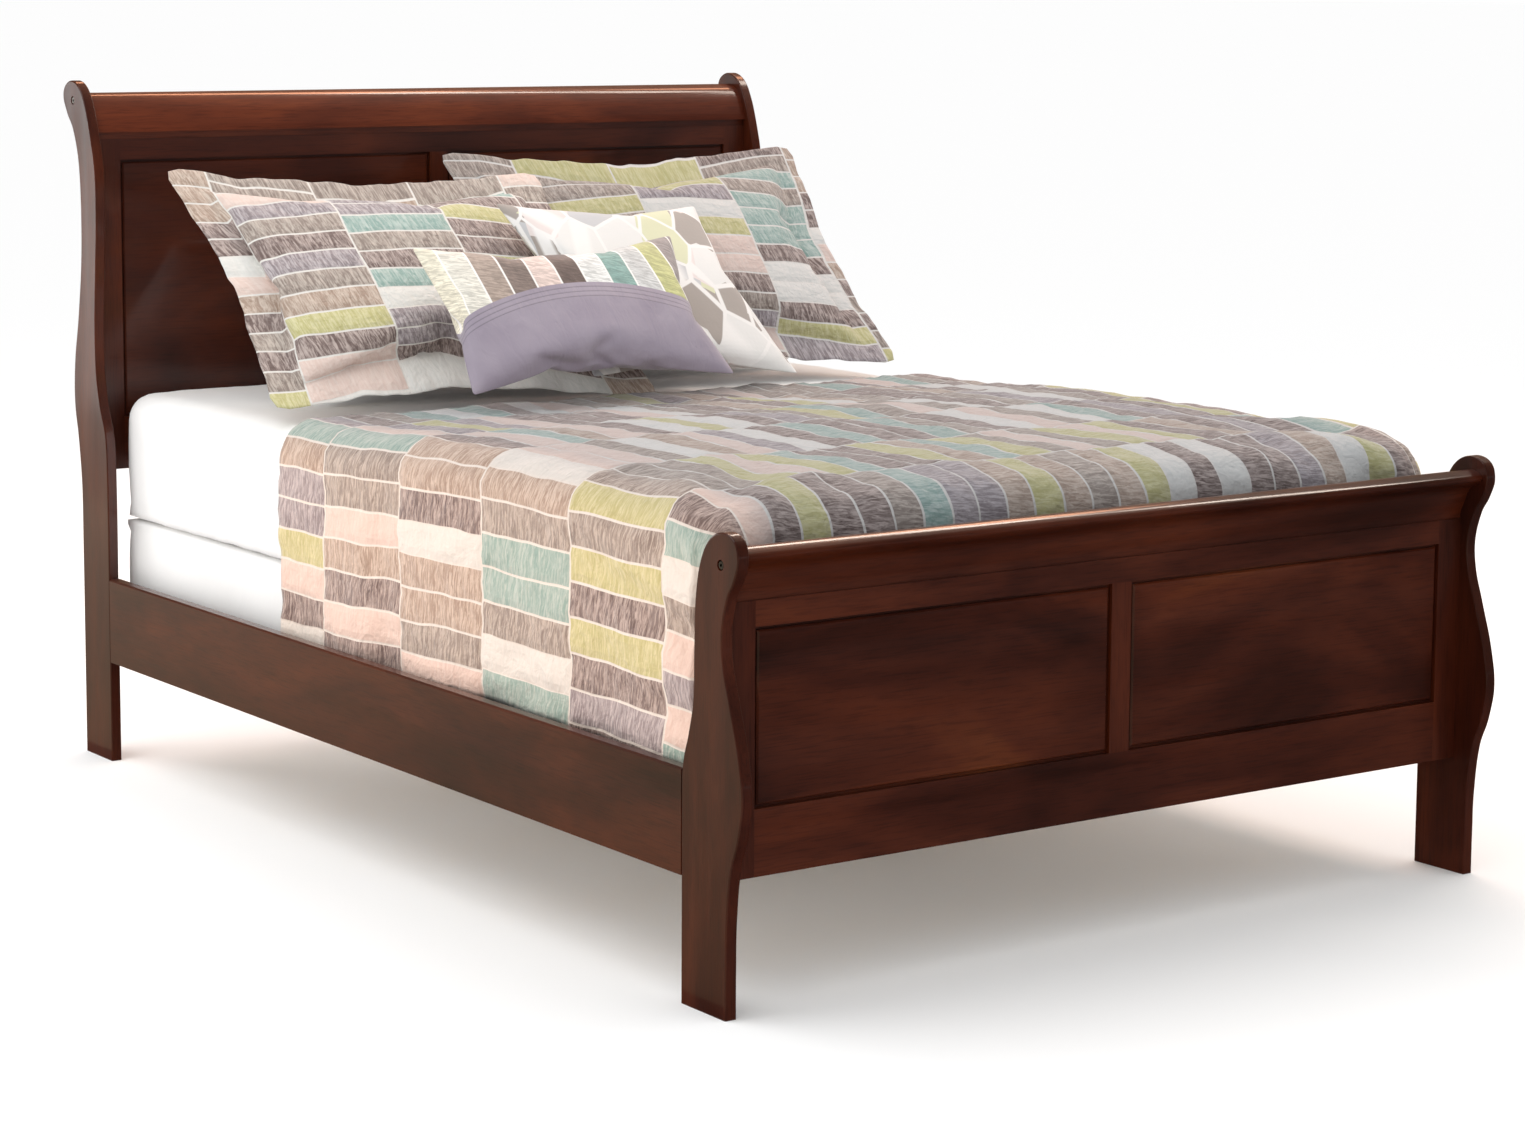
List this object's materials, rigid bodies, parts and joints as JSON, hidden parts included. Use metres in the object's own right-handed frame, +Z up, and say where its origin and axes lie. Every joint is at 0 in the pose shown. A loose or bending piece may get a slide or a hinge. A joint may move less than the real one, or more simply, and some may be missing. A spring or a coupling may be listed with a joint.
{
  "type": "sleigh bed",
  "caption": "Full-size wooden sleigh bed with rolled head and foot boards, framed panels, side rails, mattress, patchwork comforter and pillows.",
  "frame": {"origin": "on the floor, under the middle of the bed's overall box", "axes": "+X across the bed to the right seen from the foot end, +Y towards the headboard, +Z up"},
  "size_m": [1.448, 2.135, 1.2182],
  "materials": {
    "cherry_wood": "dark cherry stain under semi-gloss lacquer",
    "pine": "bare planed pine",
    "bolt_steel": "dark zinc",
    "screw_steel": "yellow zinc",
    "plate_steel": "bright zinc",
    "ticking": "woven, matte",
    "white_cotton": "plain weave, matte",
    "patchwork_cotton": "printed plain weave, matte",
    "square_print": "printed plain weave, matte",
    "lumbar_cotton": "plain weave with pieced band, matte"
  },
  "bodies": {
    "bed_frame": {"cleat_screws": "screw_steel", "footboard_bolts": "bolt_steel", "footboard_bottom_rail": "cherry_wood", "footboard_crest": "cherry_wood", "footboard_mullion": "cherry_wood", "footboard_panel_left": "cherry_wood", "footboard_panel_right": "cherry_wood", "footboard_post_left": "cherry_wood", "footboard_post_right": "cherry_wood", "footboard_stile_left": "cherry_wood", "footboard_stile_right": "cherry_wood", "footboard_upper_rail": "cherry_wood", "foundation": "ticking", "headboard_bolts": "bolt_steel", "headboard_bottom_rail": "cherry_wood", "headboard_crest": "cherry_wood", "headboard_mullion": "cherry_wood", "headboard_panel_left": "cherry_wood", "headboard_panel_right": "cherry_wood", "headboard_post_left": "cherry_wood", "headboard_post_right": "cherry_wood", "headboard_stile_left": "cherry_wood", "headboard_stile_right": "cherry_wood", "headboard_upper_rail": "cherry_wood", "hooked_plate_foot_left": "plate_steel", "hooked_plate_foot_right": "plate_steel", "hooked_plate_head_left": "plate_steel", "hooked_plate_head_right": "plate_steel", "plate_screws": "screw_steel", "side_cleat_left": "pine", "side_cleat_right": "pine", "side_rail_left": "cherry_wood", "side_rail_right": "cherry_wood", "slat_1": "pine", "slat_2": "pine", "slat_3": "pine", "slat_4": "pine", "slat_5": "pine", "slat_screws": "screw_steel", "slotted_plate_foot_left": "plate_steel", "slotted_plate_foot_right": "plate_steel", "slotted_plate_head_left": "plate_steel", "slotted_plate_head_right": "plate_steel"},
    "mattress": {"mattress": "ticking", "comforter": "patchwork_cotton", "bed_pillow_left": "white_cotton", "bed_pillow_right": "white_cotton"},
    "sham_right": {"sham_right": "patchwork_cotton"},
    "sham_left": {"sham_left": "patchwork_cotton"},
    "square_pillow": {"square_pillow": "square_print"},
    "lumbar_pillow": {"lumbar_pillow": "lumbar_cotton"}
  },
  "joints": [
    {"name": "mattress_lift", "type": "slide", "parent": "bed_frame", "child": "mattress", "axis": [0, 0, 1], "range_m": [0, 0.45]},
    {"name": "sham_right_lift", "type": "slide", "parent": "mattress", "child": "sham_right", "axis": [0, 0, 1], "range_m": [0, 0.6]},
    {"name": "sham_left_lift", "type": "slide", "parent": "sham_right", "child": "sham_left", "axis": [0, 0, 1], "range_m": [0, 0.6]},
    {"name": "square_pillow_lift", "type": "slide", "parent": "sham_left", "child": "square_pillow", "axis": [0, 0, 1], "range_m": [0, 0.6]},
    {"name": "lumbar_pillow_lift", "type": "slide", "parent": "square_pillow", "child": "lumbar_pillow", "axis": [0, 0, 1], "range_m": [0, 0.6]}
  ]
}
